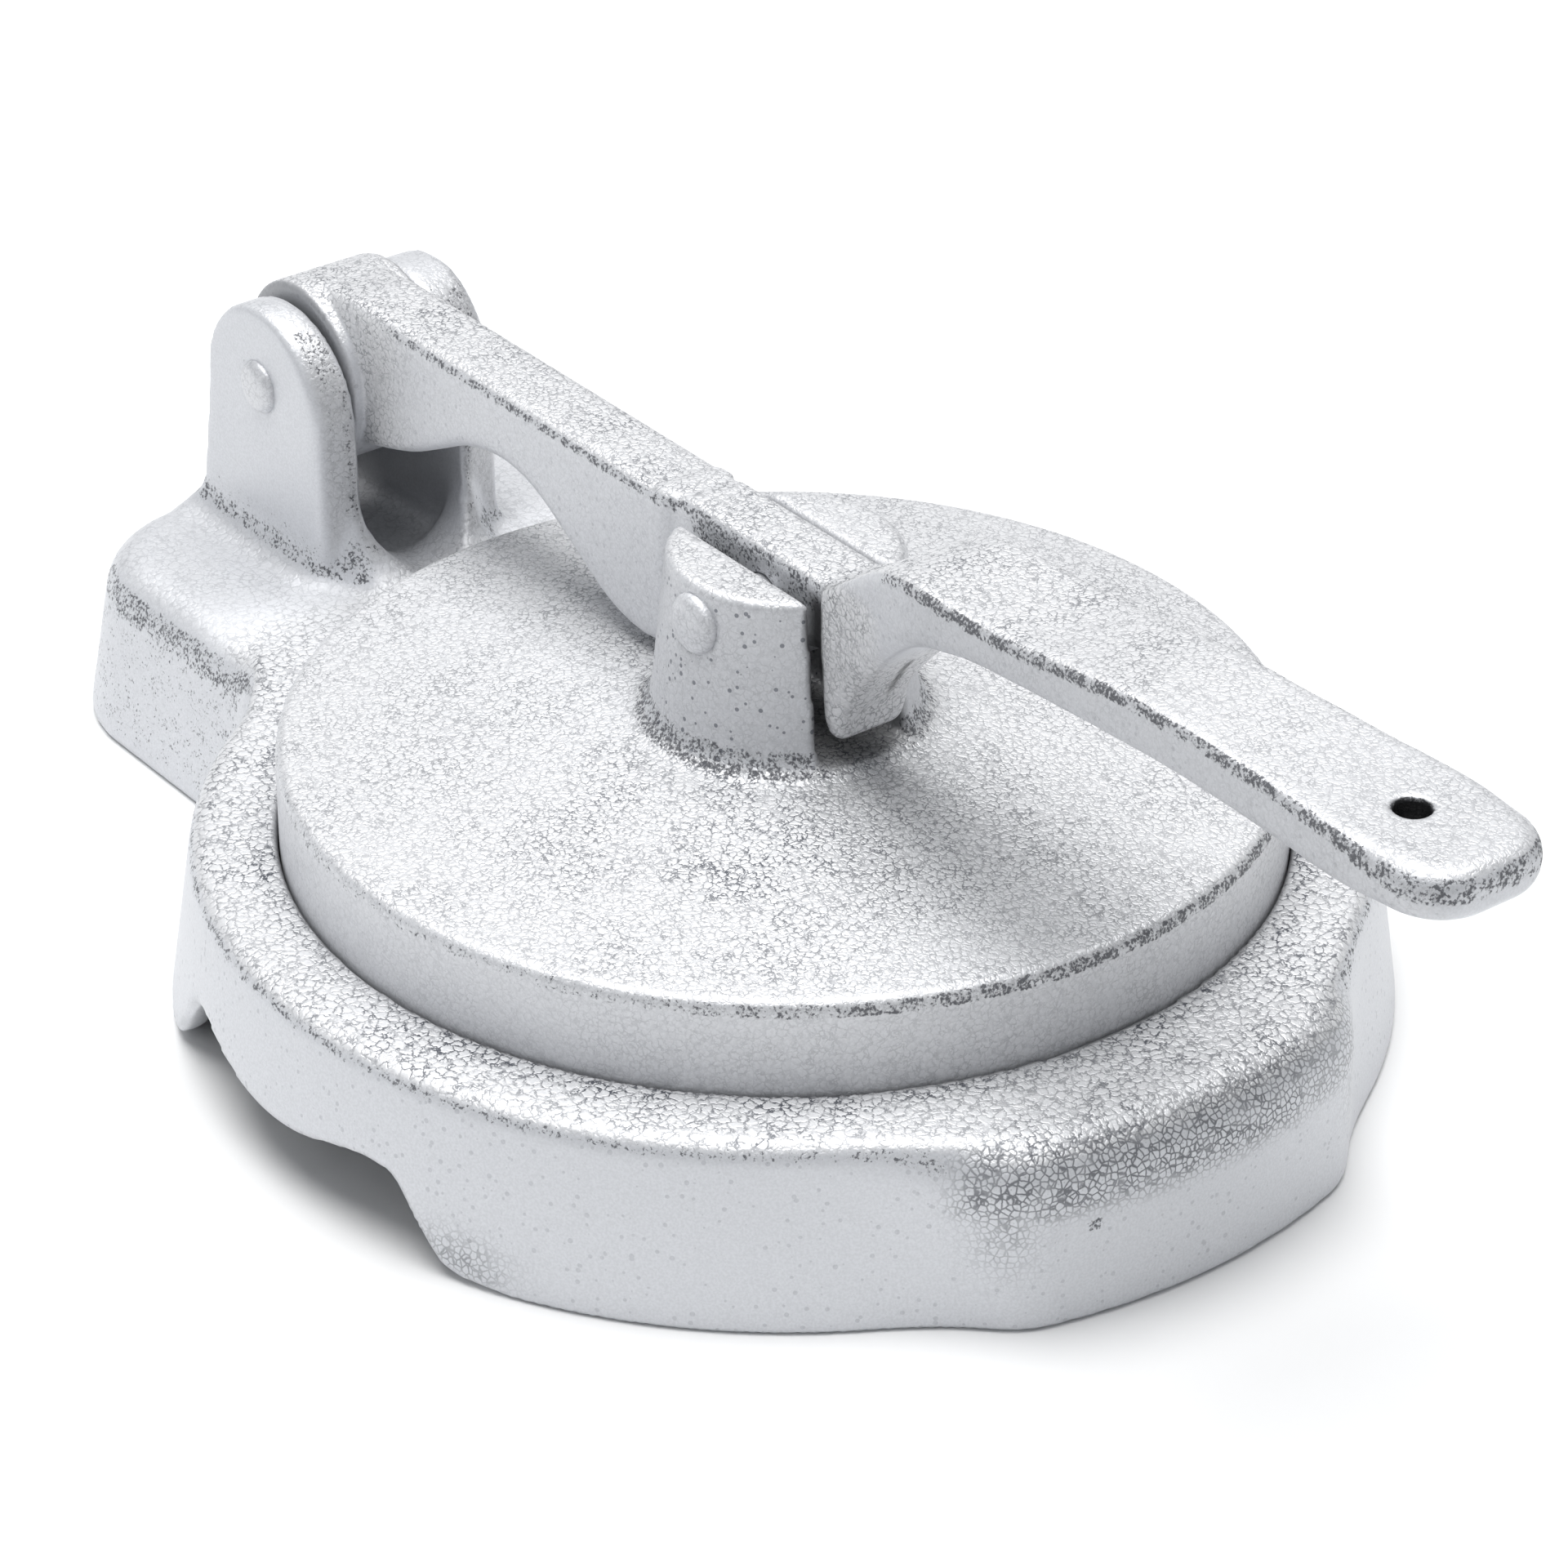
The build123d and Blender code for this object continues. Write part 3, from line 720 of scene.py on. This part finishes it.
    # pin dots on the walls
    dv = cells(950.0, "F1", pos)
    pick = new("ShaderNodeSeparateColor")
    L.new(dv.outputs["Color"], pick.inputs[0])
    size = remap(pick.outputs[0], 0.10, 1.0, 0.06, 0.30)
    dots = remap(calc("SUBTRACT", size, dv.outputs["Distance"]), 0.0, 0.06)
    wall = calc("SUBTRACT", 1.0, calc("MINIMUM", calc("MULTIPLY", vein_a, 1.7), 1.0))
    dots = calc("MULTIPLY", calc("MULTIPLY", dots, calc("POWER", wall, 0.5)), dots_a)
    # base tone, with painted shade: brighter where it lies flat, darker and a little blue on the walls
    fleck = remap(noise(3600.0, 1.0).outputs["Fac"], 0.25, 0.75, 0.93, 1.03)
    tone = mixc(wall, (0.800, 0.803, 0.815, 1), (0.700, 0.712, 0.740, 1))
    hv = new("ShaderNodeMix", data_type="RGBA", blend_type="MULTIPLY")
    hv.inputs["Factor"].default_value = 1.0
    L.new(tone, hv.inputs[6])
    comb = new("ShaderNodeCombineColor")
    for i in range(3):
        L.new(fleck, comb.inputs[i])
    L.new(comb.outputs[0], hv.inputs[7])
    col = mixc(vein, hv.outputs[2], (0.100, 0.107, 0.125, 1))
    col = mixc(dots, col, (0.14, 0.15, 0.18, 1))
    col = mixc(bub, col, (0.12, 0.125, 0.14, 1))
    col = mixc(grains, col, (0.085, 0.088, 0.100, 1))
    # painted shade from the dark attribute: hollows, slots, the bore seam and shaded faces go towards
    # black; on the lever it also carries a scratch
    col = mixc(dark_a, col, (0.018, 0.018, 0.02, 1))
    L.new(col, bsdf.inputs["Base Color"])
    bsdf.inputs["Metallic"].default_value = 0.35
    deep = calc("MAXIMUM", calc("MAXIMUM", vein, bub), grains)
    L.new(calc("MULTIPLY_ADD", matt, 0.32, remap(deep, 0.0, 1.0, 0.41, 0.62)), bsdf.inputs["Roughness"])
    bsdf.inputs["Specular IOR Level"].default_value = 0.5
    # cells stand a little proud of the veins
    h1 = mixf(coarse, remap(v1, 0.0, 0.30), remap(v2, 0.0, 0.28))
    h2 = calc("MULTIPLY", h1, calc("MULTIPLY_ADD", vein_a, 0.9, 0.1))
    h3 = calc("SUBTRACT", h2, calc("MULTIPLY", calc("MAXIMUM", bub, grains), 0.9))
    h4 = calc("MULTIPLY_ADD", noise(420.0, 2.0).outputs["Fac"], 0.8, h3)
    h4 = calc("MULTIPLY_ADD", noise(1250.0, 1.0).outputs["Fac"], 0.55, h4)
    bump = new("ShaderNodeBump")
    bump.inputs["Strength"].default_value = 0.45
    bump.inputs["Distance"].default_value = 0.00012
    L.new(h4, bump.inputs["Height"])
    L.new(bump.outputs[0], bsdf.inputs["Normal"])
    return m


mat = enamel("silver_hammered_enamel")
for ob in (ob_base, ob_lever, ob_plate, pin1, pin2):
    ob.data.materials.clear()
    ob.data.materials.append(mat)

# ======================================================================
# Floor, light and camera
# ======================================================================
floor_me = bpy.data.meshes.new("floor")
S = 6.0
floor_me.from_pydata([(-S, -S, 0), (S, -S, 0), (S, S, 0), (-S, S, 0)], [], [(0, 1, 2, 3)])
floor = bpy.data.objects.new("floor", floor_me)
bpy.context.scene.collection.objects.link(floor)
fm = bpy.data.materials.new("floor_white")
fm.use_nodes = True
fb = fm.node_tree.nodes["Principled BSDF"]
fb.inputs["Base Color"].default_value = (0.93, 0.93, 0.925, 1)
fb.inputs["Roughness"].default_value = 0.6
floor_me.materials.append(fm)


def area(name, loc, target, size, power, color=(1, 1, 1)):
    l = bpy.data.lights.new(name, "AREA")
    l.shape = "DISK"
    l.size = size
    l.energy = power
    l.color = color
    o = bpy.data.objects.new(name, l)
    o.location = loc
    d = Vector(target) - Vector(loc)
    o.rotation_euler = d.to_track_quat("-Z", "Y").to_euler()
    bpy.context.scene.collection.objects.link(o)
    return o


area("top", (-0.14, 0.02, 1.25), (0, 0, 0.03), 1.25, 21.8)
area("left", (-0.55, -1.25, 0.75), (0, 0, 0.03), 0.9, 0.5)
area("right", (1.05, 0.50, 0.35), (0, 0, 0.02), 0.8, 0.4)

# soft surround: brighter above and on the left, dim on the right
world = bpy.data.worlds.new("world")
world.use_nodes = True
wn, wl = world.node_tree.nodes, world.node_tree.links
way = wn.new("ShaderNodeTexCoord")
dotp = wn.new("ShaderNodeVectorMath")
dotp.operation = "DOT_PRODUCT"
dotp.inputs[1].default_value = (-0.62, -0.62, 0.48)
wl.new(way.outputs["Generated"], dotp.inputs[0])
wm = wn.new("ShaderNodeMapRange")
wm.inputs[1].default_value = -0.7
wm.inputs[2].default_value = 0.9
wm.inputs[3].default_value = 0.17
wm.inputs[4].default_value = 0.355
wl.new(dotp.outputs["Value"], wm.inputs[0])
wn["Background"].inputs[0].default_value = (0.92, 0.95, 1.0, 1)
wl.new(wm.outputs[0], wn["Background"].inputs[1])
bpy.context.scene.world = world
bpy.context.scene.view_settings.view_transform = "Standard"

AZ, EL, ROLL, DIST = 0.9136, 0.5402, 0.0041, 0.600
TARGET = Vector((-0.0055713, 0.0042028, 0.020))
FOCAL_PX = 6661.3
cam_data = bpy.data.cameras.new("cam")
cam = bpy.data.objects.new("cam", cam_data)
bpy.context.scene.collection.objects.link(cam)
d = Vector((math.sin(AZ) * math.cos(EL), -math.cos(AZ) * math.cos(EL), math.sin(EL)))
pos = TARGET + d * DIST
fwd = -d
right = fwd.cross(Vector((0, 0, 1))).normalized()
upv = right.cross(fwd)
r2 = math.cos(ROLL) * right + math.sin(ROLL) * upv
u2 = -math.sin(ROLL) * right + math.cos(ROLL) * upv
m = Matrix((r2, u2, -fwd)).transposed().to_4x4()
m.translation = pos
cam.matrix_world = m
cam_data.sensor_fit = "HORIZONTAL"
cam_data.sensor_width = 36.0
cam_data.lens = FOCAL_PX / 1920 * 36.0
cam_data.clip_start = 0.01
cam_data.clip_end = 50
bpy.context.scene.camera = cam
